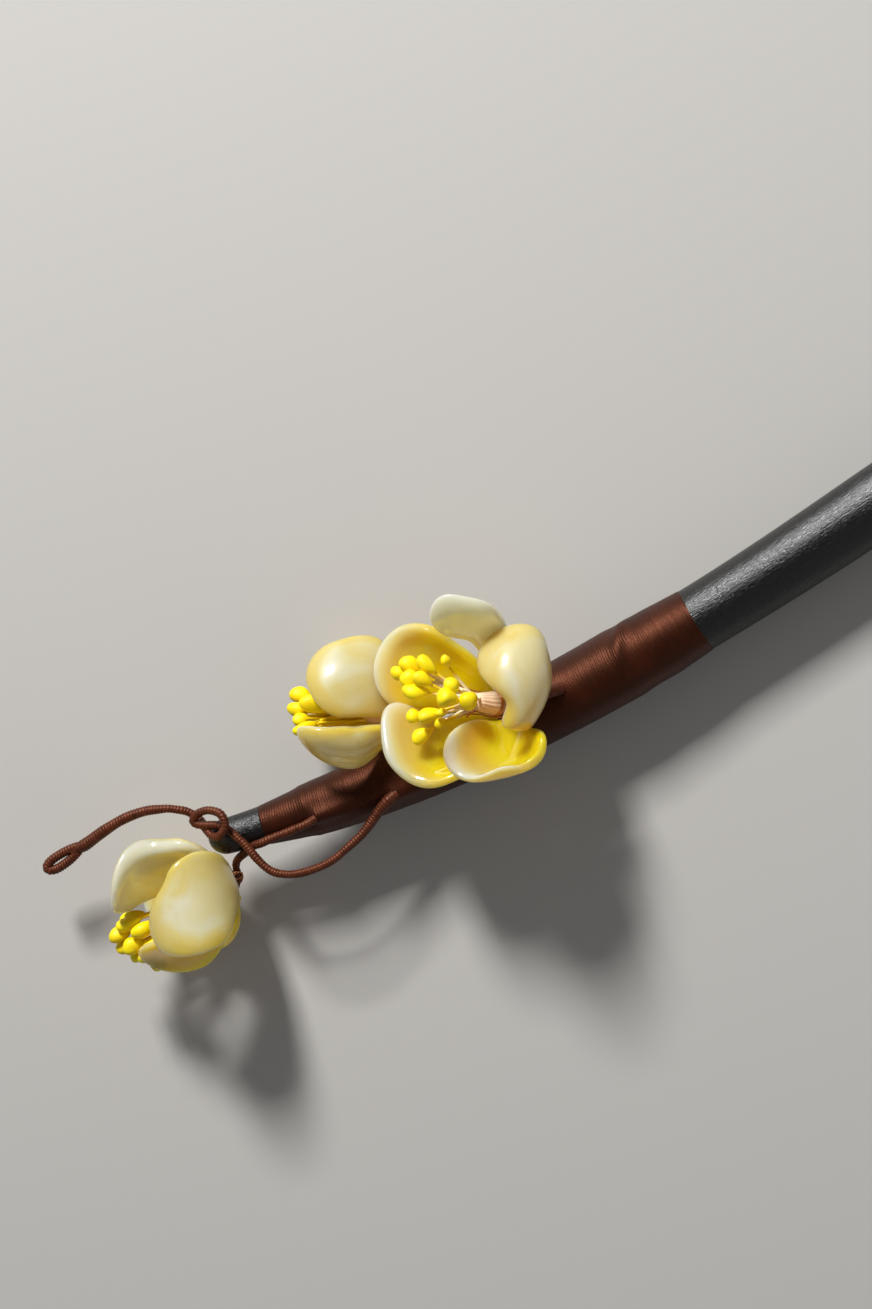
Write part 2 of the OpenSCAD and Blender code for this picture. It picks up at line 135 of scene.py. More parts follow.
# the rings stand close together at the two rounded ends, and stop just short of each pole
POLE_GAP = 0.06
tip_rings = STICK_FROM + TIP_D / 2 * (1 - np.cos(np.linspace(POLE_GAP, pi / 2, TIP_RINGS)))
far_rings = STICK_TO - END_D / 2 * (1 - np.cos(np.linspace(pi / 2, POLE_GAP, FAR_RINGS)))
long_rings = np.linspace(STICK_FROM + TIP_ROUND + 0.6, STICK_TO - FAR_ROUND, STICK_RINGS)
stick_rings = np.concatenate([tip_rings, long_rings, far_rings])
along_stick = np.linspace(STICK_FROM, STICK_TO, TAPER_STEPS)
radii = smooth([stick_radius(x) for x in along_stick], TAPER_REACH)


def stick_skin(part, turn, mm):
    x = stick_rings[round(part * (len(stick_rings) - 1))]
    r = float(np.interp(x, along_stick, radii))
    for end, gap in ((TIP_D, x - STICK_FROM), (END_D, STICK_TO - x)):
        if gap < end / 2:
            r *= sqrt(max(0.0, 1 - (1 - gap / (end / 2)) ** 2))
    # hand work leaves the stick a few hundredths of a millimetre out of round
    return r * (1 + 0.006 * sin(3 * turn + 0.11 * x) + 0.005 * sin(2 * turn - 0.07 * x))


stick_line = [stick_middle(x) for x in stick_rings]
stick = piece("ebony_stick", rod(stick_line, STICK_SIDES, stick_skin), ["stick"])


def colour(code):
    """sRGB hex to the linear colour that Blender works in."""
    parts = [int(code[i:i + 2], 16) / 255 for i in (1, 3, 5)]
    return tuple(c / 12.92 if c <= 0.04045 else ((c + 0.055) / 1.055) ** 2.4 for c in parts) + (1,)


def finish(name):
    """An empty material and its node tree."""
    mat = bpy.data.materials.new(name)
    mat.use_nodes = True
    mat.node_tree.nodes.clear()
    return mat, mat.node_tree


def add(tree, kind, out, inputs=(), **settings):
    """Adds a node with its settings, and gives the output socket named, or the node itself if none
    is. An input is a value, or the socket that it is linked from."""
    made = tree.nodes.new("ShaderNode" + kind)
    for key, value in settings.items():
        setattr(made, key, value)
    for key, value in dict(inputs).items():
        if isinstance(value, bpy.types.NodeSocket):
            tree.links.new(value, made.inputs[key])
        else:
            made.inputs[key].default_value = value
    return made.outputs[out] if out else made


# Ebony, polished and oiled: black, with open pores a few tenths of a millimetre wide that run along
# the wood and break its shine into a silvery band of short dashes. IOR 1.5, roughness 0.22 to 0.4.
# Pores are 0.18 mm across and 0.9 mm long, and growth bands 1.4 mm across and 33 mm long.
PORES_PER_MM = (5.5, 5.5, 1.1)
BANDS_PER_MM = (0.7, 0.7, 0.03)
PORE_DEPTH = 0.00007
ebony, tree = finish("polished_ebony")
at = add(tree, "Attribute", "Vector", attribute_name="straight")
stretched = add(tree, "Mapping", "Vector", {"Vector": at, "Scale": PORES_PER_MM})
pores = add(tree, "TexNoise", "Fac", {"Vector": stretched, "Scale": 1.0, "Detail": 3.5, "Roughness": 0.65})
stretched = add(tree, "Mapping", "Vector", {"Vector": at, "Scale": BANDS_PER_MM})
bands = add(tree, "TexNoise", "Fac", {"Vector": stretched, "Scale": 1.0, "Detail": 2.0})
banded = add(tree, "MapRange", "Result", {"Value": bands, "From Min": 0.35, "From Max": 0.7})
tone = add(tree, "MixRGB", "Color", {"Fac": banded, "Color1": colour("#040404"), "Color2": colour("#0D0B0A")})
open_pores = add(tree, "MapRange", "Result", {"Value": pores, "From Min": 0.5, "From Max": 0.68})
tone = add(tree, "MixRGB", "Color", {"Fac": open_pores, "Color1": tone, "Color2": colour("#12100F")})
dull = add(tree, "MapRange", "Result",
           {"Value": pores, "From Min": 0.3, "From Max": 0.7, "To Min": 0.22, "To Max": 0.4})
relief = add(tree, "Bump", "Normal", {"Strength": 1.0, "Distance": PORE_DEPTH, "Height": pores})
skin = add(tree, "BsdfPrincipled", "BSDF", {"Base Color": tone, "Roughness": dull, "Normal": relief,
                                            "IOR": 1.5, "Specular IOR Level": 0.5})
add(tree, "OutputMaterial", None, {"Surface": skin})
stick.data.materials.append(ebony)

# The thread round the stick
# Fine brown silk is wound tight round the stick to bind the blossoms' wires on. It lies in three
# stretches: thin at both ends, thicker over the wires in the middle, with a raised turn at a step.
WRAP_FROM = -29.4
WRAP_TO = 30.2
WRAP_STEPS = (-23.7, 20.9)
WRAP_THIN = 0.4
WRAP_THICK = 0.6
WRAP_SUNK = 0.02
WRAP_SIDES = 64
WRAP_RINGS = 420
# how many rings each step's slope reaches over on either side
STEP_REACH = 13
TURN_MM = 0.33
# the winding thins out toward its ends, to this part of its thickness, and its edges are round
TAPER_MM = 5
TAPER_TO = 0.15
EDGE_ROUND = 0.3
# the raised turn at the first step
RAISED = 0.06
RAISED_WIDE = 0.5
# where each wire goes in under the winding: x, and how far round the stick in radians
WIRES_IN = ((-23.5, 1.82), (-13.7, 2.04))
# the bulge over a wire: height, width in radians, and the lengths it rises and dies away over
BULGE = 0.75
BULGE_WIDE = 0.26
BULGE_RISE = 1.1
BULGE_FADE = 6
# crossed turns stand up slantwise where the thick stretch ends: their height, their width and
# slant along the stick, and their middle and reach round it in radians
CROSSED = 0.42
CROSSED_WIDE = 0.9
CROSSED_SLANT = 1.9
CROSSED_AT = 0.8
CROSSED_ROUND = 0.7

wrap_rings = np.linspace(WRAP_FROM, WRAP_TO, WRAP_RINGS)
in_middle = (wrap_rings > WRAP_STEPS[0]) & (wrap_rings < WRAP_STEPS[1])
thick = smooth(np.where(in_middle, WRAP_THICK, WRAP_THIN), STEP_REACH)
# the raised turn at the first step, and the slow waves of hand winding
thick += RAISED * np.exp(-((wrap_rings - WRAP_STEPS[0] - 0.3) / RAISED_WIDE) ** 2)
thick += 0.008 * np.sin(wrap_rings * 1.1) + 0.006 * np.sin(wrap_rings * 2.9 + 1)
to_end = np.minimum(wrap_rings - WRAP_FROM, WRAP_TO - wrap_rings)
thick *= np.interp(to_end, (0, TAPER_MM), (TAPER_TO, 1))
thick *= np.sqrt(np.clip(1 - (1 - np.clip(to_end / EDGE_ROUND, 0, 1)) ** 2, 0, 1))


def wrap_skin(part, turn, mm):
    x = wrap_rings[round(part * (len(wrap_rings) - 1))]
    # the turns lean a little, but not at the winding's ends
    lean = (0.25 * cos(turn) + 0.2 * sin(turn + 0.5)) * (1 - abs(2 * part - 1) ** 6)
    cover = float(np.interp(x + lean, wrap_rings, thick))
    for start, spot in WIRES_IN:
        rise = max(0.0, min(1.0, (x - start) / BULGE_RISE)) * exp(-((x - start) / BULGE_FADE) ** 2)
        cover += BULGE * rise * exp(-((turn - spot) / BULGE_WIDE) ** 2)
    off = x - WRAP_STEPS[1] + 0.2 + CROSSED_SLANT * (turn - 0.9)
    cover += CROSSED * exp(-(off / CROSSED_WIDE) ** 2) * exp(-((turn - CROSSED_AT) / CROSSED_ROUND) ** 2)
    return stick_radius(x) - WRAP_SUNK + cover


wrap_line = [stick_middle(x) for x in wrap_rings]
wrap = piece("silk_winding", rod(wrap_line, WRAP_SIDES, wrap_skin), ["thread_wrap"])

# Spun silk, dyed a dark red-brown and wound under tension: each turn is a fine rounded ridge, and
# together they throw one soft coppery line of light along the stick. A few turns are paler or redder.
# Fibres are 0.2 mm long, turns change shade from one to the next, and patches are 4.5 mm wide.
FIBRES_PER_MM = 5.0
SHADES_PER_MM = 2.2
PATCHES_PER_MM = 0.22
WANDERS_PER_MM = 0.45
TURN_DEPTH = 0.00003
silk, tree = finish("wound_brown_silk")
at = add(tree, "Attribute", "Vector", attribute_name="straight")
xyz = add(tree, "SeparateXYZ", None, {"Vector": at}).outputs
# the turns: a sine along the stick that climbs once round it, and wanders as hand winding does
angle = add(tree, "Math", "Value", {0: xyz["Y"], 1: xyz["X"]}, operation="ARCTAN2")
wander = add(tree, "TexNoise", "Fac", {"Vector": at, "Scale": WANDERS_PER_MM, "Detail": 3.0})
turns = add(tree, "Math", "Value", {0: xyz["Z"], 1: 2 * pi / TURN_MM, 2: angle}, operation="MULTIPLY_ADD")
turns = add(tree, "Math", "Value", {0: wander, 1: 14.0, 2: turns}, operation="MULTIPLY_ADD")
ridge = add(tree, "Math", "Value", {0: turns}, operation="SINE")
# the shades: one for each turn, patches of redder thread, and painted shade between the ridges
shade_at = add(tree, "Math", "Value", {0: xyz["Z"], 1: SHADES_PER_MM, 2: wander}, operation="MULTIPLY_ADD")
shade_at = add(tree, "CombineXYZ", "Vector", {"X": shade_at})
each_turn = add(tree, "TexNoise", "Fac",
                {"Vector": shade_at, "Scale": 1.0, "Detail": 5.0, "Roughness": 0.8})
shade = add(tree, "MapRange", "Result", {"Value": each_turn, "From Min": 0.3, "From Max": 0.7})
tone = add(tree, "MixRGB", "Color", {"Fac": shade, "Color1": colour("#0C0301"), "Color2": colour("#290D05")})
patch = add(tree, "TexNoise", "Fac", {"Vector": at, "Scale": PATCHES_PER_MM, "Detail": 2.0})
patch = add(tree, "MapRange", "Result", {"Value": patch, "From Min": 0.45, "From Max": 0.7, "To Max": 0.4})
tone = add(tree, "MixRGB", "Color", {"Fac": patch, "Color1": tone, "Color2": colour("#40180B")})
# painted shade: the silk is drawn darker in the grooves between the turns, where they shade each other
painted_groove_shade = add(tree, "MapRange", "Result",
              {"Value": ridge, "From Min": -1.0, "From Max": 0.0, "To Min": 0.45, "To Max": 0.0})
tone = add(tree, "MixRGB", "Color", {"Fac": painted_groove_shade, "Color1": tone, "Color2": colour("#0C0301")})
fibre = add(tree, "TexNoise", "Fac", {"Vector": at, "Scale": FIBRES_PER_MM, "Detail": 4.0, "Roughness": 0.7})
dull = add(tree, "MapRange", "Result",
           {"Value": fibre, "From Min": 0.3, "From Max": 0.7, "To Min": 0.36, "To Max": 0.54})
height = add(tree, "Math", "Value", {0: ridge, 1: 0.55}, operation="MULTIPLY")
height = add(tree, "Math", "Value", {0: fibre, 1: 1.4, 2: height}, operation="MULTIPLY_ADD")
height = add(tree, "Math", "Value", {0: each_turn, 1: 4.0, 2: height}, operation="MULTIPLY_ADD")
relief = add(tree, "Bump", "Normal", {"Strength": 0.6, "Distance": TURN_DEPTH, "Height": height})
skin = add(tree, "BsdfPrincipled", "BSDF", {
    "Base Color": tone, "Roughness": dull, "Normal": relief, "IOR": 1.5, "Specular IOR Level": 0.6,
    "Specular Tint": colour("#FFA27C"), "Sheen Weight": 0.03, "Sheen Roughness": 0.35,
    "Sheen Tint": colour("#C07058")})
add(tree, "OutputMaterial", None, {"Surface": skin})
wrap.data.materials.append(silk)

# The stem and the tendril
# The tip blossom hangs from a wire, and a second wire curls out past the tip of the stick: both are
# iron wire wound close with the same silk, which shows as slanting turns close together.
# The tendril goes once round in a ring, and its end is doubled back and closed to a narrow eye.
STEM_D = 1.04
TENDRIL_D = 1.06
TENDRIL_END_D = 1.6
TENDRIL_ROOT_D = 1.55
EYE_D = 1.2
WIND_MM = 0.4
WIRE_SIDES = 16
WIRE_RING_MM = 0.075
STEM = ((-18.9, -10.05, 10.2), (-20.7, -9.9, 10.5), (-21.6, -9.9, 10.7), (-22.4, -9.95, 11.0),
        (-24.1, -10.0, 11.4), (-25.7, -9.8, 11.1), (-27.2, -9.6, 11.0), (-29.1, -9.3, 10.9),
        (-30.3, -9.2, 10.7), (-31.3, -9.0, 10.2), (-32.2, -9.1, 9.7), (-33.4, -9.3, 8.8),
        (-34.4, -9.5, 8.2), (-35.1, -10.0, 7.65), (-35.5, -10.8, 7.3))
TENDRIL = ((-9.8, -11.9, 10.2), (-11.7, -12.2, 10.45), (-13.3, -12.6, 11.1), (-14.9, -13.0, 11.0),
           (-16.2, -13.6, 10.9), (-18.3, -14.5, 10.9), (-19.8, -14.9, 11.0), (-21.4, -15.2, 11.1),
           (-23.0, -15.5, 11.2), (-24.8, -15.5, 11.3), (-27.0, -15.1, 11.4), (-28.5, -14.6, 11.4),
           (-29.7, -13.9, 11.4), (-30.6, -13.1, 11.4), (-31.2, -12.0, 11.4), (-31.6, -10.5, 11.4),
           (-31.8, -9.2, 11.4), (-32.0, -8.1, 11.4), (-32.3, -7.3, 11.3), (-32.6, -6.4, 11.1),
           (-32.9, -5.6, 11.0), (-33.2, -5.0, 10.9), (-33.8, -4.5, 10.8), (-35.1, -3.8, 10.6),
           (-36.0, -3.2, 10.5), (-36.4, -2.7, 10.5), (-36.2, -2.3, 10.6), (-35.6, -2.0, 10.8),
           (-34.8, -2.0, 11.1), (-33.9, -2.2, 11.5), (-33.1, -2.7, 11.9), (-32.5, -3.4, 12.2),
           (-32.4, -4.1, 12.4), (-32.6, -4.9, 12.4), (-33.1, -5.4, 12.3), (-33.8, -5.7, 12.1),
           (-34.5, -5.7, 11.7), (-35.1, -5.3, 11.1), (-35.4, -4.6, 10.5), (-35.6, -3.7, 9.8),
           (-35.7, -3.1, 9.2), (-35.9, -2.3, 9.1), (-36.3, -1.6, 9.1), (-36.8, -0.9, 9.2),
           (-37.5, -0.3, 9.4), (-38.4, 0.4, 9.5), (-39.6, 1.0, 9.6), (-41.0, 1.6, 9.6),
           (-42.7, 2.0, 9.5), (-44.4, 2.2, 9.3), (-46.0, 2.2, 9.1), (-47.9, 2.1, 8.7),
           (-49.9, 1.9, 8.3), (-51.2, 1.9, 8.0), (-52.3, 1.9, 7.8))
EYE = ((-51.2, 2.15, 8.05), (-52.4, 2.36, 7.85), (-53.8, 2.44, 7.55), (-55.2, 2.38, 7.35),
       (-56.2, 2.05, 7.2), (-56.3, 1.5, 7.2), (-55.5, 1.12, 7.3), (-54.2, 1.1, 7.5), (-52.9, 1.26, 7.7),
       (-51.6, 1.6, 7.95))


def even_route(points, step, round_off=0.0):
    """A smooth line through the points, as evenly spaced points."""
    p = [Vector(q) for q in points]
    p = [p[0] * 2 - p[1]] + p + [p[-1] * 2 - p[-2]]
    line = []
    for a, b, c, d in zip(p, p[1:], p[2:], p[3:]):
        for t in np.linspace(0, 1, 12, endpoint=False):
            line.append(((b * 2) + (c - a) * t + (a * 2 - b * 5 + c * 4 - d) * t * t
                         + (b * 3 - a - c * 3 + d) * t ** 3) / 2)
    line = np.array([tuple(q) for q in line + [p[-2]]])
    far = np.r_[0, np.cumsum(np.linalg.norm(np.diff(line, axis=0), axis=1))]
    along = np.linspace(0, far[-1], max(4, int(far[-1] / step)))
    line = np.stack([np.interp(along, far, line[:, i]) for i in range(3)], axis=1)
    if round_off:
        line = smooth(line, max(1, int(round_off / step)))
    return [Vector(q) for q in line]


def wound(thickness, pitch, ridge_mm, lump=0.0):
    """Half thickness of a wire wound with thread: a slanting ridge for every turn."""
    def half(part, turn, mm):
        slip = 0.5 * sin(mm * 0.9) + 0.35 * sin(mm * 2.3 + 1)
        r = thickness(part) / 2
        r += ridge_mm * (sin(2 * pi * mm / pitch + turn + slip) - 0.4)
        return r + lump * sin(mm * 1.3) * sin(mm * 0.47 + 2)
    return half


def stem_d(part):
    """The stem thins where it meets the stalk of its blossom."""
    return STEM_D * float(np.interp(part, (0, 0.2, 0.8, 0.94, 1), (0.9, 1.06, 1.04, 0.95, 0.75)))


def tendril_d(part):
    """The tendril is thickest where it leaves the winding and where its end is doubled back."""
    return float(np.interp(part, (0, 0.06, 0.1, 0.16, 0.77, 0.87, 0.97, 1),
                           (1.3, TENDRIL_ROOT_D, 1.3, TENDRIL_D, TENDRIL_D, 1.34, TENDRIL_END_D, 1.3)))


def eye_d(part):
    return EYE_D


wires = []
# piece, route, rounding off, thickness, height of the ridges, height of the lumps, nodes
for name, route, round_off, thickness, ridge_mm, lump, nodes in (
        ("blossom_stem", STEM, 0.5, stem_d, 0.03, 0.02, ["tip_stem"]),
        ("curled_tendril", TENDRIL, 0.7, tendril_d, 0.03, 0.03, ["tendril"]),
        ("tendril_eye", EYE, 0.3, eye_d, 0.04, 0.0, [])):
    line = even_route(route, WIRE_RING_MM, round_off)
    wire = rod(line, WIRE_SIDES, wound(thickness, WIND_MM, ridge_mm, lump))
    wires.append(piece(name, wire, nodes))

# The same silk on the bare wire, a little redder where it stands in the light: rounded turns with a
# dark line between them, and fine fibres across each turn, 0.14 mm apart along the wire.
STRANDS_PER_MM = (0.8, 0.8, 7.0)
WIRE_PATCHES_PER_MM = 0.9
STRAND_DEPTH = 0.00005
silk_on_wire, tree = finish("silk_on_wire")
at = add(tree, "Attribute", "Vector", attribute_name="straight")
stretched = add(tree, "Mapping", "Vector", {"Vector": at, "Scale": STRANDS_PER_MM})
strand = add(tree, "TexNoise", "Fac", {"Vector": stretched, "Scale": 1.0, "Detail": 4.0, "Roughness": 0.7})
shade = add(tree, "MapRange", "Result", {"Value": strand, "From Min": 0.3, "From Max": 0.7})
tone = add(tree, "MixRGB", "Color", {"Fac": shade, "Color1": colour("#32140A"), "Color2": colour("#6A3420")})
patch = add(tree, "TexNoise", "Fac", {"Vector": at, "Scale": WIRE_PATCHES_PER_MM, "Detail": 2.0})
patch = add(tree, "MapRange", "Result", {"Value": patch, "From Min": 0.4, "From Max": 0.75, "To Max": 0.5})
tone = add(tree, "MixRGB", "Color", {"Fac": patch, "Color1": tone, "Color2": colour("#260C05")})
relief = add(tree, "Bump", "Normal", {"Strength": 0.6, "Distance": STRAND_DEPTH, "Height": strand})
skin = add(tree, "BsdfPrincipled", "BSDF", {
    "Base Color": tone, "Normal": relief, "Roughness": 0.42, "IOR": 1.5, "Specular Tint": colour("#FFC0A0"),
    "Sheen Weight": 0.04, "Sheen Roughness": 0.4, "Sheen Tint": colour("#C08068")})
add(tree, "OutputMaterial", None, {"Surface": skin})
for wire in wires:
    wire.data.materials.append(silk_on_wire)

# The petals
# Each petal is pressed from a gob of hot milk glass and curled while soft: about a millimetre thick,
# with a rounded rim, a narrow claw at the root and a shallow notch. Five stand round each blossom.

# the way up toward the camera; the petals' azimuths are counted from it
FACING = Vector((0.139, 0, 0.990))
# where the petals' roots meet, the way the blossom opens, and its stalk's foot and thickness
Blossom = namedtuple("Blossom", "root opens foot stalk_d")
BLOSSOMS = {
    "front": Blossom(Vector((5.2, -9.5, 14.0)), Vector((-0.524, 0.451, 0.723)),
                     Vector((10.6, -11.2, 11.6)), 1.6),
    "back": Blossom(Vector((-8.0, -4.3, 6.3)), Vector((-0.760, 0.608, 0.230)),
                    Vector((-4.6, -6.5, 6.6)), 1.6),
    "tip": Blossom(Vector((-36.9, -11.7, 7.1)), Vector((-0.940, 0.054, 0.336)),
                   Vector((-35.7, -11.2, 7.2)), 1.1)}
ROOT_OFF = 2.1
PETAL_T = 1.0
PETAL_STEPS = 72
PETAL_RINGS = (0, .15, .3, .45, .58, .68, .77, .84, .9, .94, .97, .99)
# how square the round edge is
RIM_ROUND = 14
# how far out in the petal its swollen rim, its rolled lip and its curled end begin
SWELL_FROM = 0.55
SWELL_OVER = 0.3
LIP_FROM = 0.62
TIP_CURL_FROM = 0.45
TIP_CURL_OVER = 0.3
NOTCH_SPREAD = 24
# how much the pad is stretched so that its rounded outline reaches the petal's length
OUTLINE_STRETCH = 1.025
# Azimuth round the blossom, opening away from its middle, yaw about the face and roll about the
# length; length and width; curl along the petal and cup across it; the notch's depth and place;
# further curl of the end; how narrow the claw is, and where along it the petal is widest; lobes of
# the outline and waves of the rim; how far the lip rolls out and how much the rim swells; how golden
# the glass is, which on the top front petal is painted light that makes it pale, and how much more
# so toward one side; how far the middle is filled out inside.
# Angles are in degrees; length, width, waves, lip and belly are in millimetres; the rest are parts.
Petal = namedtuple("Petal", "azimuth opening yaw roll length width curl cup notch notch_at tip_curl "
                            "claw widest lobes waves lip swell golden lean belly")
PETALS = {
    # painted light: this petal's golden value of -1.3 makes it pale, standing in for light it does not get
    "front_petal_top": Petal(
        91.6, 65, 1.9, 31.9, 16.3, 8.6, 75, -25, 0.06, -10, -12, 0.7, 0.62,
        (-0.16, 0.28, 0.23, -0.14, -0.05), (0, 0.5, -0.5, -0.5), 0.15, 0.4, -1.3, 0, 0.9),
    "front_petal_near": Petal(
        16.6, 121.2, -19, -21.5, 15, 15.2, 166, 31, 0.18, -50, 36, 0.62, 0.55,
        (0, 0.08, 0, -0.01, 0.07), (-1.7, -1, -0.1, -0.2), 0.15, 0.4, 0.15, 0, 0),
    "front_petal_low": Petal(
        -51.5, 71.4, -5.6, -43.8, 12.6, 13.8, 18, 71, 0.3, 35, 24, 0.62, 0.55,
        (-0.18, -0.09, 0.09, 0.12, 0.01), (0, 1.1, 0.9, -0.3), 0.3, 0.3, 1.1, 0.9, 0),
    "front_petal_left": Petal(
        -126.5, 55.8, 0.1, -10.1, 14.8, 14.2, 48, 37, 0.13, -36, -6, 0.62, 0.55,
        (0.03, 0.11, -0.23, -0.12, 0.01), (0, 0.3, 0.1, -0.7), 0.2, 0.35, 1.15, 0.8, 0),
    "front_petal_back": Petal(
        162.9, 50.9, -6.1, -6.8, 14.9, 13.8, 6, 20, 0.26, -102, 6, 0.62, 0.55,
        (-0.06, 0.02, 0.04, 0, 0.04), (-0.9, -0.1, -0.6, 0.4), 0.2, 0.9, 1.15, -0.15, 0),
    "back_petal_top": Petal(
        27.2, 59.1, 8.4, -21.3, 13.9, 12.6, 83, 26, 0.09, 35, 15, 0.62, 0.55,
        (-0.02, 0.04, -0.06, 0, 0.01), (-0.3, -0.1, -0.2, 0.2), 0.1, 0.3, 0.1, 0, 0),
    "back_petal_low": Petal(
        -25.4, 76.7, -12.8, -16, 14.9, 8.4, 81, 41, 0.23, 80, 16, 0.62, 0.55,
        (0.03, 0.17, -0.08, -0.01, -0.08), (-0.2, 0.7, -0.6, -0.7), 0.2, 0.4, 0.5, 0, 0),
    "back_petal_far": Petal(
        -111.5, 35, -11, -6.5, 12.4, 10.2, 74, 41, 0.04, 0, 0, 0.62, 0.55,
        (0, 0, 0, 0, 0), (0, 0, 0, 0), 0.2, 0.4, 0.9, 0, 0),
    "back_petal_rear": Petal(
        179, 63, 1, -18, 12, 11, 69, 30, 0.05, 0, 0, 0.62, 0.55,
        (0, 0, 0, 0, 0), (0, 0, 0, 0), 0.2, 0.4, 0.7, 0, 0),
    "back_petal_high": Petal(
        109, 59, -0.5, -11.5, 12, 10.9, 73, 34, 0.05, 0, 0, 0.62, 0.55,
        (0, 0, 0, 0, 0), (0, 0, 0, 0), 0.2, 0.4, 0.8, 0, 0),
    "tip_petal_near": Petal(
        6.4, 86.5, 0.6, -5.8, 15.8, 12.7, 113, 7, 0.15, 25, 14, 0.54, 0.5,
        (-0.22, 0.1, -0.11, -0.06, -0.01), (0.1, 0.6, 0.2, 0.1), 0.1, 0.2, 0.1, 0, 0),
    "tip_petal_cup": Petal(
        110, 13.6, -25.1, 9.5, 14.8, 13.8, -18, -11, 0.03, 3, 24, 0.62, 0.55,
        (0.1, 0.05, 0.04, 0.16, 0.03), (-0.2, 2, -0.3, 0.1), 0.4, 0.8, 0.05, 0, 0),
    "tip_petal_low": Petal(
        -66, 28.6, 3.4, 6.6, 14.7, 9.6, 43, -24, 0.03, 54, 6, 0.62, 0.55,
        (-0.02, 0, 0.04, 0.07, -0.03), (0.4, 0.4, 0, -0.2), 0.1, 0.3, 1.7, 0, 0),
    "tip_petal_far": Petal(
        -149.4, 88, 6.9, 11.5, 11.2, 8.9, 116, 19, 0.14, 68, 1, 0.62, 0.55,
        (0.08, -0.02, -0.02, -0.03, 0), (-0.3, 0.1, -0.4, 0.2), 0.2, 0.3, 0.8, 0, 0),
    "tip_petal_rear": Petal(
        166.4, 55.5, 1.4, 31.2, 13.3, 8.6, 61, 59, 0.19, -61, -16, 0.62, 0.55,
        (0.05, -0.14, -0.01, 0, -0.04), (0.1, -0.5, 0.4, 0.1), 0.2, 0.3, 0.8, 0, 0),
}


def glass_petal(name):
    p = PETALS[name]
    blossom = BLOSSOMS[name.split("_")[0]]
    # a flat round pad of glass with a round edge, turned about its middle
    bm = bmesh.new()
    top = [Vector((r, 0, sqrt(1 - r ** RIM_ROUND))) for r in PETAL_RINGS]
    under = [Vector((v.x, 0, -v.z)) for v in reversed(top)]
    line = [bm.verts.new(v) for v in top + [Vector((1, 0, 0))] + under]
    line += [bm.edges.new(pair) for pair in zip(line, line[1:])]
    bmesh.ops.spin(bm, geom=line, axis=(0, 0, 1), cent=(0, 0, 0), angle=2 * pi, steps=PETAL_STEPS,
                   use_merge=True)
    bmesh.ops.remove_doubles(bm, verts=bm.verts, dist=1e-5)
    bmesh.ops.recalc_face_normals(bm, faces=bm.faces)
    # the petal's own directions: out along it, across it, and in toward the blossom's middle
    axis = blossom.opens.normalized()
    zero = (FACING - axis * axis.dot(FACING)).normalized()
    away = zero * cos(radians(p.azimuth)) + axis.cross(zero) * sin(radians(p.azimuth))
    out = axis * cos(radians(p.opening)) + away * sin(radians(p.opening))
    inward = axis * sin(radians(p.opening)) - away * cos(radians(p.opening))
    turn = Matrix.Rotation(radians(p.yaw), 3, inward) @ Matrix.Rotation(radians(p.roll), 3, out)
    out, across, inward = turn @ out, turn @ inward.cross(out), turn @ inward
    start = blossom.root + away * ROOT_OFF
    curl_r, cup_r = p.length / radians(p.curl), p.width / 2 / radians(p.cup)
    half_way = radians(p.curl) / 2
    hinge = Vector((curl_r * sin(half_way), 0, curl_r * (1 - cos(half_way))))
    place = bm.verts.layers.float_vector.new("petal")
    tint = bm.verts.layers.float.new("golden")
    for v in bm.verts:
        rho, psi = min(1.0, hypot(v.co.x, v.co.y)), atan2(v.co.y, v.co.x)
        c = cos(psi)
        # 1 at the free end and along the sides, and 0 at the claw
        free = 1 - max(0.0, -c) ** 2
        # the outline, with its lobes, its notch and its narrow claw
        lobe = p.lobes[0] * sin(psi) + p.lobes[1] * cos(2 * psi) + p.lobes[2] * sin(2 * psi) \
            + p.lobes[3] * cos(3 * psi) + p.lobes[4] * sin(3 * psi)
        gap = (degrees(psi) - p.notch_at + 540) % 360 - 180
        notched = 1 - p.notch * exp(-(gap / NOTCH_SPREAD) ** 2) * rho * rho
        reach = OUTLINE_STRETCH * rho * notched * (1 + rho * free * lobe)
        x = p.length * (p.widest + reach * c * (1 - p.widest if c > 0 else p.widest))
        y = reach * p.width / 2 * sin(psi) * (1 - p.claw * max(0.0, -c) ** 1.3)
        # the thickness, the waves and the rolled lip
        wave = p.waves[0] * cos(2 * psi) + p.waves[1] * sin(2 * psi) \
            + p.waves[2] * cos(3 * psi) + p.waves[3] * sin(3 * psi)
        rim = max(0.0, min(1.0, (rho - SWELL_FROM) / SWELL_OVER)) * free
        half = v.co.z * PETAL_T / 2 * (1 + p.swell * rim * rim * (3 - 2 * rim))
        half += p.belly * max(0.0, v.co.z) * (1 - rho * rho)
        rolled = p.lip * max(0.0, (rho - LIP_FROM) / (1 - LIP_FROM)) ** 2 * (0.5 + 0.5 * c)
        rise = half + rho * rho * free * wave - rolled
        # cupped across, curled along, and curled once more toward the end
        curled, cupped = radians(p.curl) * x / p.length, y / cup_r
        lift = cup_r * (1 - cos(cupped)) + rise * cos(cupped)
        bent = Vector((sin(curled) * (curl_r - lift), 0,
                       curl_r * (1 - cos(curled)) + cos(curled) * lift))
        more = radians(p.tip_curl) * max(0.0, x / p.length - TIP_CURL_FROM) ** 2 / TIP_CURL_OVER
        bent = hinge + Matrix.Rotation(-more, 3, "Y") @ (bent - hinge)
        v[place] = Vector((x / p.length, rho, v.co.z))
        v[tint] = p.golden + p.lean * rho * sin(psi)
        v.co = start + out * bent.x + across * ((cup_r - rise) * sin(cupped)) + inward * bent.z
    obj = piece("glass_" + name, bm, [name])
    rounding = obj.modifiers.new("rounding", "SUBSURF")
    rounding.levels = rounding.render_levels = 1
    return obj


petals = [glass_petal(name) for name in PETALS]
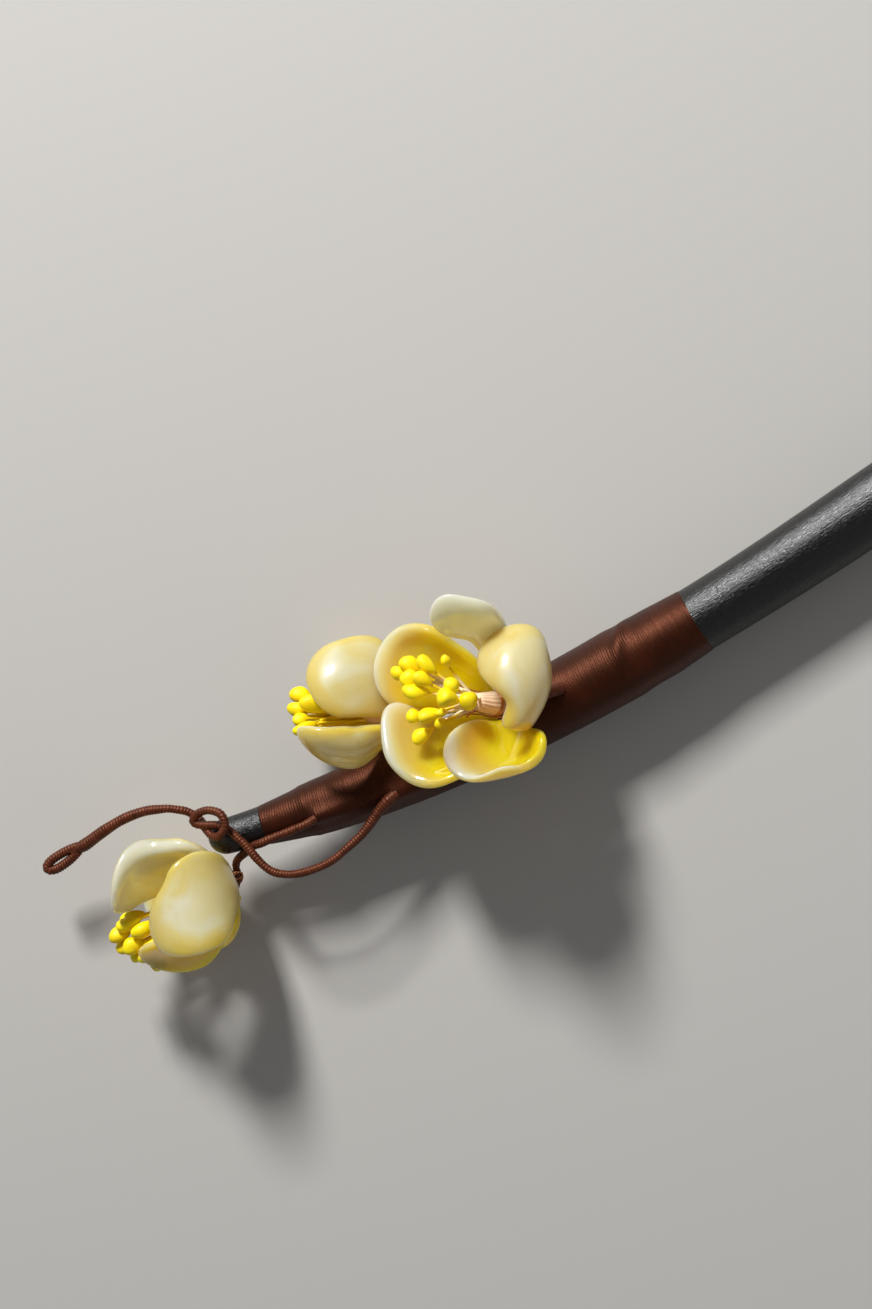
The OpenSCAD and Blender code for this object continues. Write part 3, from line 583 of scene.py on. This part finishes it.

# Milk glass with amber stirred in, fire-polished: cloudy cream outside and at the rim, and clear
# gold toward the root. The deeper gold on the inner side is partly the amber and partly painted glow
# of light that has soaked through. IOR 1.5; the skin is wet-looking, coat roughness 0.05, over a
# body of 0.3 that blurs what shines through it.
# Clouds are 5.3 mm across, drawn out where the gob was pulled, and ripples in the skin 3.8 mm.
CLOUDS_PER_M = 190.0
RIPPLES_PER_M = 260.0
RIPPLE_DEPTH = 0.00012
SOAK_DEPTH = 0.005
glass, tree = finish("fire_polished_milk_glass")
at = add(tree, "Attribute", "Vector", attribute_name="petal")
# X runs along the petal, Y from its middle to its rim, and Z from its outer to its inner side
xyz = add(tree, "SeparateXYZ", None, {"Vector": at}).outputs
here = add(tree, "TexCoord", "Object")
# how pale the glass is: paler toward the end; at the rim, painted shade turns the outer side olive
# gold, and the inner side's pale roll is partly milky glass and partly painted highlight
rim = add(tree, "MapRange", "Result", {"Value": xyz["Y"], "From Min": 0.68, "From Max": 0.97})
toward_end = add(tree, "MapRange", "Result", {"Value": xyz["X"], "From Min": 0.2, "From Max": 0.6})
rim = add(tree, "Math", "Value", {0: rim, 1: toward_end}, operation="MULTIPLY")
# painted shade and highlight: the rim is darker seen from outside and paler on the inner roll
rim_painted_shade_and_highlight = add(tree, "MapRange", "Result",
               {"Value": xyz["Z"], "From Min": -0.7, "From Max": 0.5, "To Min": -0.42, "To Max": 0.2})
pale = add(tree, "Math", "Value", {0: xyz["X"], 1: 0.4}, operation="MULTIPLY")
pale = add(tree, "Math", "Value", {0: rim, 1: rim_painted_shade_and_highlight, 2: pale}, operation="MULTIPLY_ADD")
# clouds, stronger outside
cloud = add(tree, "TexNoise", "Fac",
            {"Vector": here, "Scale": CLOUDS_PER_M, "Detail": 2.5, "Roughness": 0.5, "Distortion": 0.8})
cloud = add(tree, "Math", "Value", {0: cloud, 1: 0.5}, operation="SUBTRACT")
cloudy = add(tree, "MapRange", "Result",
             {"Value": xyz["Z"], "From Min": -0.6, "From Max": 0.6, "To Min": 0.5, "To Max": 0.2})
pale = add(tree, "Math", "Value", {0: cloud, 1: cloudy, 2: pale}, operation="MULTIPLY_ADD")
# the gold is strongest at the root and thins out toward the petal's end; its extra depth on the inner side is
# partly painted glow of light through the glass
inner_gold_and_painted_glow = add(tree, "MapRange", "Result",
             {"Value": xyz["Z"], "From Min": -0.2, "From Max": 0.95, "To Min": -0.38, "To Max": -0.95})
thinning = add(tree, "MapRange", "Result",
               {"Value": xyz["X"], "From Min": 0.2, "From Max": 0.95, "To Min": 1.05, "To Max": 0.35})
golden = add(tree, "Attribute", "Fac", attribute_name="golden")
golden = add(tree, "Math", "Value", {0: golden, 1: thinning}, operation="MULTIPLY")
pale = add(tree, "Math", "Value", {0: golden, 1: inner_gold_and_painted_glow, 2: pale}, operation="MULTIPLY_ADD")
pale = add(tree, "Math", "Value", {0: pale, 1: 0.65}, operation="ADD")
gold = add(tree, "ValToRGB", None, {"Fac": pale})
marks = gold.color_ramp.elements
marks.remove(marks[1])
marks[0].position, marks[0].color = 0.0, colour("#FFC400")
for spot, code in ((0.2, "#FFCC14"), (0.4, "#F2C23A"), (0.6, "#EAC162"), (0.8, "#EDD088"), (1.0, "#F8E9C0")):
    marks.new(spot).color = colour(code)
ripple = add(tree, "TexNoise", "Fac", {"Vector": here, "Scale": RIPPLES_PER_M, "Detail": 1.0})
relief = add(tree, "Bump", "Normal", {"Strength": 0.25, "Distance": RIPPLE_DEPTH, "Height": ripple})
skin = add(tree, "BsdfPrincipled", "BSDF", {
    "Base Color": gold.outputs["Color"], "Normal": relief, "Roughness": 0.3, "IOR": 1.5,
    "Specular IOR Level": 0.15, "Transmission Weight": 0.2, "Subsurface Weight": 1.0,
    "Subsurface Radius": (1.0, 0.9, 0.65), "Subsurface Scale": SOAK_DEPTH,
    "Coat Weight": 1.0, "Coat Roughness": 0.05, "Coat IOR": 1.5, "Coat Normal": relief})
add(tree, "OutputMaterial", None, {"Surface": skin})
for petal in petals:
    petal.data.materials.append(glass)

# The bundles
# Under each blossom the petals' wires and the stamen threads are bound into one stalk. The thread
# is dark red-brown round the stalk, and the bundle's pinkish cream threads show in front of it.
CORE_D = 2.8
BUNDLE_LEN = 4.4
STALK_SIDES = 28
STALK_RING_MM = 0.09
STALK_ROUND_OFF = 0.5
BUNDLE_SIDES = 108
BUNDLE_RING_MM = 0.12
# the stalk's ridges: from one to the next, and their height
STALK_WIND_MM = 0.35
STALK_RIDGE = 0.03
# how far the threads of the bundle stand out
THREAD_RIDGE = 0.08
# where each stalk goes in under the winding, or meets the stem's end
STALK_END = {"front": Vector((12.9, -11.9, 9.5)),
             "back": Vector((-3.9, -8.9, 6.7)),
             "tip": Vector((-35.45, -10.6, 7.45))}


def stalk_and_bundle(name):
    blossom = BLOSSOMS[name]
    root, foot, a = blossom.root, blossom.foot, blossom.opens.normalized()
    stalk_points = (STALK_END[name], foot, (foot + root - a * 1.4) / 2, root - a, root, root + a * 0.4)
    stalk_line = even_route(stalk_points, STALK_RING_MM, STALK_ROUND_OFF)

    def stalk_thickness(part):
        widths = (blossom.stalk_d, blossom.stalk_d, CORE_D, CORE_D + 0.4, CORE_D * 0.8)
        return float(np.interp(part, (0, 0.55, 0.8, 0.92, 1), widths))

    stalk = rod(stalk_line, STALK_SIDES, wound(stalk_thickness, STALK_WIND_MM, STALK_RIDGE))
    stalk = piece(name + "_bound_stalk", stalk)
    stalk.data.materials.append(silk_on_wire)
    bundle_points = [root + a * t for t in (0.4, 1.2, 2.2, 3.2, BUNDLE_LEN, BUNDLE_LEN + 0.4)]
    bundle_line = even_route(bundle_points, BUNDLE_RING_MM)

    def bundle_skin(part, turn, mm):
        strand = abs(sin(turn * 9 + 0.9 * sin(mm * 0.9) + 0.6 * sin(turn * 2))) ** 1.5 * THREAD_RIDGE
        taper = float(np.interp(part, (0, 0.2, 0.5, 0.8, 0.93, 1), (0.98, 1.06, 0.9, 0.78, 0.6, 0.12)))
        return (CORE_D / 2 - 0.02 + strand) * taper

    bundle = rod(bundle_line, BUNDLE_SIDES, bundle_skin)
    return piece(name + "_thread_bundle", bundle, [name + "_core"])


bundles = [stalk_and_bundle(name) for name in BLOSSOMS]

# Cotton stamen thread stiffened with size: cream, blushed pink toward the binding, matt, with each
# thread a separate ridge 0.3 mm wide.
COTTON_PER_MM = (3.5, 3.5, 0.4)
COTTON_DEPTH = 0.00005
cotton, tree = finish("sized_cotton_thread")
at = add(tree, "Attribute", "Vector", attribute_name="straight")
xyz = add(tree, "SeparateXYZ", None, {"Vector": at}).outputs
stretched = add(tree, "Mapping", "Vector", {"Vector": at, "Scale": COTTON_PER_MM})
strand = add(tree, "TexNoise", "Fac", {"Vector": stretched, "Scale": 1.0, "Detail": 2.0})
blush = add(tree, "Math", "Value", {0: strand, 1: 1.5, 2: xyz["Z"]}, operation="MULTIPLY_ADD")
blush = add(tree, "MapRange", "Result", {"Value": blush, "From Min": 0.3, "From Max": 2.2})
tone = add(tree, "MixRGB", "Color", {"Fac": blush, "Color1": colour("#C48262"), "Color2": colour("#F2D2AE")})
relief = add(tree, "Bump", "Normal", {"Strength": 0.5, "Distance": COTTON_DEPTH, "Height": strand})
skin = add(tree, "BsdfPrincipled", "BSDF", {
    "Base Color": tone, "Normal": relief, "Roughness": 0.7, "IOR": 1.45, "Sheen Weight": 0.2,
    "Subsurface Weight": 0.2, "Subsurface Radius": (1.0, 0.5, 0.3), "Subsurface Scale": 0.0006})
add(tree, "OutputMaterial", None, {"Surface": skin})
for bundle in bundles:
    bundle.data.materials.append(cotton)

# The stamens
# Bought stamen threads with dipped heads: a stiff cream thread, curved a little by hand, with a drop
# of matt yellow at its end that has run back along it. Short ends without a head stand among them.
HEAD_R = 1.008
HEAD_SIDES = 18
HEAD_RINGS = 14
# blossom: x, y, z of each head, part of HEAD_R, how much longer than thick it is
HEADS = {
    "front": ((-1.7, .6, 17.5, 1, 1.2), (.2, -.4, 19.0, 1, 1.2), (-3.5, .2, 17.0, .9, 1.2),
              (-2.4, -1.0, 18.5, 1, 1.2), (-1.0, -1.7, 20.0, .9, 1.2), (-2.7, -2.6, 19.5, 1, 1.4),
              (2.1, -4.3, 22.0, 1, 1.2), (.9, -5.3, 22.8, 1.2, 1.2), (2.8, -6.9, 21.8, 1.1, 1.2),
              (-4.3, -5.1, 19.0, .8, 1.1), (-2.5, -5.9, 20.5, 1, 1.3), (-.9, -6.5, 21.5, .6, 1.2),
              (-1.7, -7.5, 20.5, .6, 1.2), (-4.8, -7.7, 19.0, .9, 1.3), (2.6, -1.3, 19.0, .6, 1.2)),
    "back": ((-17.1, 4.3, 7.0, 1, 1.3), (-14.4, 3.7, 9.0, .9, 1.3), (-18.0, 2.8, 9.0, 1, 1.3),
             (-15.8, 2.5, 10.5, 1, 1.6), (-18.1, 1.6, 10.4, .8, 1.2), (-18.0, .3, 12.0, .9, 1.7)),
    "tip": ((-51.9, -9.9, 11.0, .95, 1.3), (-50.1, -9.4, 11.6, 1, 1.4), (-48.5, -11.0, 12.8, 1.05, 1.4),
            (-50.8, -12.0, 12.0, 1, 1.3), (-52.2, -11.6, 10.2, .9, 1.2), (-49.9, -13.9, 11.4, 1, 1.3),
            (-51.2, -13.4, 10.2, .85, 1.3), (-49.2, -15.3, 10.9, .95, 1.3), (-49.8, -9.0, 9.6, .9, 1.5),
            (-49.9, -15.6, 9.4, .8, 1.2), (-48.6, -13.0, 12.2, .9, 1.3))}
THREAD_D = 0.42
THREAD_SIDES = 8
THREAD_RING_MM = 0.35
# how far the yellow runs back along the threads, in millimetres
STAIN_MM = {"front": 2.6, "back": 8.0, "tip": 7.0}
# how many ends have no head, and how far they reach toward the heads
BARE_ENDS = {"front": 26, "back": 24, "tip": 10}
BARE_REACH = {"front": 0.5, "back": 0.85, "tip": 0.6}
# so far from the head, in lengths of the stain, that none shows
UNSTAINED = 3.0
# how deep in the bundle the threads start, how wide they stand there, and how far they bow
THREAD_SUNK = 1.2
THREADS_WIDE = 0.85
BOW_ASIDE = 0.3
BOW_OUT = 0.35


def thread_half(part, turn, mm):
    return THREAD_D / 2 * (1.0 - 0.2 * part)


def dipped_head(heads, i, to, reach, part, long):
    """A drop of paint at the end of a thread; its back runs out thin along the thread."""
    drop = bmesh.ops.create_uvsphere(heads, u_segments=HEAD_SIDES, v_segments=HEAD_RINGS, radius=1)["verts"]
    for v in drop:
        x, y, z = v.co
        thin = 1 if z > -0.1 else 1 - 0.3 * ((-z - 0.1) / 0.9) ** 1.3
        lump = 1 + 0.09 * sin(2.9 * x + 1.3 * i + z) + 0.08 * cos(2.5 * y + 2.1 * i - 1.4 * z)
        droop = 0.22 * z * z
        v.co = Vector((x * lump * thin + droop * cos(2 * i), y * lump * thin + droop * sin(2 * i),
                       z * long * (1.4 if z < 0 else 1))) * (HEAD_R * part)
    aimed = Matrix.Translation(to) @ reach.to_track_quat("Z", "Y").to_matrix().to_4x4()
    bmesh.ops.transform(heads, verts=drop, matrix=aimed)


def stamens(name):
    root, a = BLOSSOMS[name].root, BLOSSOMS[name].opens.normalized()
    across = a.orthogonal().normalized()
    over = a.cross(across)
    heads, threads = bmesh.new(), bmesh.new()
    headed = [(Vector(row[:3]), row[3], row[4]) for row in HEADS[name]]
    bundle_end = root + a * BUNDLE_LEN
    bare = []
    for i in range(BARE_ENDS[name]):
        # the short ends fan out between the headed threads
        near_head = headed[i * 7 % len(headed) if i % 2 else i % 6][0]
        aside = across * sin(i * 2.9) + over * cos(i * 4.3)
        part = BARE_REACH[name] + 0.12 * sin(i * 5.1)
        bare.append((bundle_end + (near_head - bundle_end) * part + aside * 0.5, 0, 0))
    for i, (to, part, long) in enumerate(headed + bare):
        ring = Vector((cos(i * 2.4), sin(i * 2.4), 0)) * THREADS_WIDE * sqrt((i % 6 + 0.5) / 6)
        start = root + a * (BUNDLE_LEN - THREAD_SUNK) + across * ring.x + over * ring.y
        way = to - start
        bow = across.cross(way).normalized() * (BOW_ASIDE * sin(i * 1.7)) + a * BOW_OUT
        bow *= 1 if part else 0.3
        points = (start, start + way * 0.35 + bow * 0.7, start + way * 0.7 + bow, to)
        line = even_route(points, THREAD_RING_MM)
        thread = rod(line, THREAD_SIDES, thread_half)
        straight = thread.verts.layers.float_vector["straight"]
        for v in thread.verts:
            # yellow runs back along the headed threads; the front blossom's bare ends stay cream
            left = (way.length - v[straight].z) / STAIN_MM[name]
            stained = part or name != "front"
            v[straight] = Vector((v[straight].x, left if stained else UNSTAINED, v[straight].z))
        mesh = bpy.data.meshes.new("thread")
        thread.to_mesh(mesh)
        threads.from_mesh(mesh)
        thread.free()
        bpy.data.meshes.remove(mesh)
        if part:
            dipped_head(heads, i, to, (line[-1] - line[-2]).normalized(), part, long)
    return piece(name + "_stamen_heads", heads, [name + "_stamens"]), \
        piece(name + "_stamen_threads", threads)


# Lemon-yellow dip, a chalky paint with a dull shine: grains 0.4 mm wide, and 2 mm patches of a
# deeper yellow.
GRAINS_PER_M = 2600.0
DEEPER_PER_M = 500.0
GRAIN_DEPTH = 0.00004
paint, tree = finish("dipped_yellow_paint")
here = add(tree, "TexCoord", "Object")
speck = add(tree, "TexNoise", "Fac", {"Vector": here, "Scale": GRAINS_PER_M, "Detail": 3.0})
patch = add(tree, "TexNoise", "Fac", {"Vector": here, "Scale": DEEPER_PER_M, "Detail": 1.0})
patch = add(tree, "MapRange", "Result", {"Value": patch, "From Min": 0.35, "From Max": 0.7})
tone = add(tree, "MixRGB", "Color", {"Fac": patch, "Color1": colour("#FFEA00"), "Color2": colour("#F8D800")})
relief = add(tree, "Bump", "Normal", {"Strength": 0.35, "Distance": GRAIN_DEPTH, "Height": speck})
skin = add(tree, "BsdfPrincipled", "BSDF",
           {"Base Color": tone, "Normal": relief, "Roughness": 0.5, "IOR": 1.45})
add(tree, "OutputMaterial", None, {"Surface": skin})

# The threads themselves: cream cotton, stained yellow over the last few millimetres before the
# head, with fibres 0.7 mm long. The attribute's Y is the way from the head in lengths of the stain.
FUZZ_PER_M = 1500.0
FUZZ_DEPTH = 0.00003
dipped, tree = finish("cotton_thread_stained_yellow")
at = add(tree, "Attribute", "Vector", attribute_name="straight")
xyz = add(tree, "SeparateXYZ", None, {"Vector": at}).outputs
here = add(tree, "TexCoord", "Object")
fibre = add(tree, "TexNoise", "Fac", {"Vector": here, "Scale": FUZZ_PER_M, "Detail": 3.0})
left = add(tree, "Math", "Value", {0: fibre, 1: 0.5, 2: xyz["Y"]}, operation="MULTIPLY_ADD")
stain = add(tree, "MapRange", "Result", {"Value": left, "From Min": 1.1, "From Max": 1.5})
tone = add(tree, "MixRGB", "Color", {"Fac": stain, "Color1": colour("#F4D200"), "Color2": colour("#F2E2BA")})
relief = add(tree, "Bump", "Normal", {"Strength": 0.4, "Distance": FUZZ_DEPTH, "Height": fibre})
skin = add(tree, "BsdfPrincipled", "BSDF", {
    "Base Color": tone, "Normal": relief, "Roughness": 0.6, "IOR": 1.45,
    "Subsurface Weight": 0.3, "Subsurface Radius": (1.0, 0.8, 0.3), "Subsurface Scale": 0.0004})
add(tree, "OutputMaterial", None, {"Surface": skin})
for name in BLOSSOMS:
    heads, threads = stamens(name)
    heads.data.materials.append(paint)
    threads.data.materials.append(dipped)

# The fine copper wire
# A few turns of bare copper wire hold the petals round the bundle, and their ends are left
# standing loose in the blossom, bent about as they were cut.
TURNS_D = 0.21
ENDS_D = 0.228
COPPER_SIDES = 8
TURNS_RING_MM = 0.12
END_RING_MM = 0.2
# two turns in six steps: how far up the bundle they start, and each step's climb and angle
TURNS_FROM = 1.0
TURNS_STEPS = 6.0
TURNS_CLIMB = 0.09
TURNS_ANGLE = 2.1
# blossom: points along each loose end
LOOSE_ENDS = {
    "front": (((4.6, -10.9, 14.9), (3.4, -10.2, 15.2), (2.3, -9.1, 15.6),
               (1.0, -8.3, 15.9), (-.2, -8.0, 16.3)),
              ((4.8, -10.4, 15.2), (3.3, -9.6, 15.6), (2.0, -8.5, 16.0), (.9, -8.6, 16.6)),
              ((4.9, -11.0, 14.6), (4.2, -12.0, 14.7), (3.1, -13.0, 14.9), (2.3, -13.9, 15.0)),
              ((5.3, -10.9, 14.3), (4.9, -12.2, 14.4), (3.9, -13.2, 14.5), (3.6, -13.9, 14.6)),
              ((4.4, -7.4, 15.6), (3.0, -6.0, 16.3), (2.2, -4.8, 16.8), (2.4, -3.9, 17.4)),
              ((4.2, -7.6, 15.8), (2.4, -5.9, 16.7), (1.2, -4.0, 17.4), (.9, -2.9, 18.0))),
    "back": (((-9.6, -2.5, 7.6), (-11.2, -1.3, 8.6), (-12.6, -.9, 9.4)),),
    "tip": (((-35.1, -10.9, 8.0), (-35.7, -10.7, 8.2), (-36.1, -11.0, 7.9),
             (-36.0, -11.5, 7.5), (-35.5, -11.7, 7.3),
             (-35.0, -11.4, 7.5), (-35.1, -11.0, 7.8), (-35.7, -10.9, 8.0), (-36.3, -11.2, 8.2)),)}


def turns_half(part, turn, mm):
    return TURNS_D / 2


def end_half(part, turn, mm):
    return ENDS_D / 2


def copper_turns(name):
    root, a = BLOSSOMS[name].root, BLOSSOMS[name].opens.normalized()
    u = a.orthogonal().normalized()
    w = a.cross(u)
    line = []
    for t in np.linspace(0, TURNS_STEPS, 60):
        out = u * cos(t * TURNS_ANGLE) + w * sin(t * TURNS_ANGLE)
        off = CORE_D / 2 + 0.17 + 0.03 * sin(t * 5)
        line.append(root + a * (TURNS_FROM + TURNS_CLIMB * t) + out * off)
    turns = rod(even_route(line, TURNS_RING_MM), COPPER_SIDES, turns_half)
    made = [piece(name + "_copper_turns", turns, [name + "_wire"])]
    for i, points in enumerate(LOOSE_ENDS[name]):
        end = rod(even_route(points, END_RING_MM), COPPER_SIDES, end_half)
        made.append(piece("%s_copper_end_%d" % (name, i + 1), end))
    return made


# Soft copper wire, drawn and left bare: a warm bright metal dulled a little by handling, in
# patches half a millimetre long.
TARNISH_PER_M = 1800.0
copper, tree = finish("drawn_copper")
here = add(tree, "TexCoord", "Object")
tarnish = add(tree, "TexNoise", "Fac", {"Vector": here, "Scale": TARNISH_PER_M, "Detail": 2.0})
tone = add(tree, "MixRGB", "Color",
           {"Fac": tarnish, "Color1": colour("#E0A070"), "Color2": colour("#B06A3C")})
dull = add(tree, "MapRange", "Result", {"Value": tarnish, "To Min": 0.2, "To Max": 0.42})
skin = add(tree, "BsdfPrincipled", "BSDF", {"Base Color": tone, "Roughness": dull, "Metallic": 1.0})
add(tree, "OutputMaterial", None, {"Surface": skin})
for name in BLOSSOMS:
    for wire in copper_turns(name):
        wire.data.materials.append(copper)

# The floor, light and camera
# A plain pale table top under soft studio light, seen from above as in the photograph: the camera
# looks almost straight down, with the picture's top toward +Y and +X.
FLOOR_HALF = 3.0
# just under the lowest petal
FLOOR_Z = -0.0002
floor = bpy.data.meshes.new("floor")
bm = bmesh.new()
bmesh.ops.create_grid(bm, x_segments=1, y_segments=1, size=FLOOR_HALF)
bm.to_mesh(floor)
bm.free()
floor = bpy.data.objects.new("floor", floor)
bpy.context.collection.objects.link(floor)
floor.location.z = FLOOR_Z
table, tree = finish("pale_table")
skin = add(tree, "BsdfPrincipled", "BSDF", {"Base Color": colour("#BDBAB5"), "Roughness": 0.6})
add(tree, "OutputMaterial", None, {"Surface": skin})
floor.data.materials.append(table)

# the camera's place, in metres and degrees, with a long lens as for a small thing on a table
TARGET = Vector((-0.0409, 0.00545, 0.005))
CAMERA_FAR = 0.4545
CAMERA_LEAN = 8
CAMERA_TURN = 31
LENS_MM = 100
FRAME_MM = 36
BACK = Vector((sin(radians(CAMERA_LEAN)), 0, cos(radians(CAMERA_LEAN))))
UP = Vector((sin(radians(CAMERA_TURN)), cos(radians(CAMERA_TURN)), 0))
UP = (UP - BACK * UP.dot(BACK)).normalized()
RIGHT = UP.cross(BACK)
camera = bpy.data.objects.new("camera", bpy.data.cameras.new("camera"))
camera.data.lens = LENS_MM
camera.data.sensor_fit = "VERTICAL"
camera.data.sensor_height = FRAME_MM
aim = Matrix((RIGHT, UP, BACK)).transposed().to_4x4()
camera.matrix_world = Matrix.Translation(TARGET + BACK * CAMERA_FAR) @ aim
bpy.context.collection.objects.link(camera)
bpy.context.scene.camera = camera

# light: name, part to the right, up and back from the object, distance, width, height, watts
for name, right, up, back, far, wide, tall, watts in (
        ("key", -0.36, 0.68, 0.62, 0.75, 0.11, 0.17, 7.6),
        ("fill", 0.7, -0.5, 0.6, 1.0, 0.8, 0.8, 0.6)):
    light = bpy.data.objects.new(name, bpy.data.lights.new(name, "AREA"))
    light.data.shape = "RECTANGLE"
    light.data.size, light.data.size_y = wide, tall
    light.data.energy = watts
    way = (RIGHT * right + UP * up + BACK * back).normalized()
    light.location = TARGET + way * far
    light.rotation_euler = way.to_track_quat("Z", "Y").to_euler()
    bpy.context.collection.objects.link(light)
world = bpy.data.worlds.new("studio")
world.use_nodes = True
world.node_tree.nodes["Background"].inputs["Color"].default_value = colour("#E8EAEE")
world.node_tree.nodes["Background"].inputs["Strength"].default_value = 0.22
bpy.context.scene.world = world
bpy.context.scene.view_settings.view_transform = "Standard"
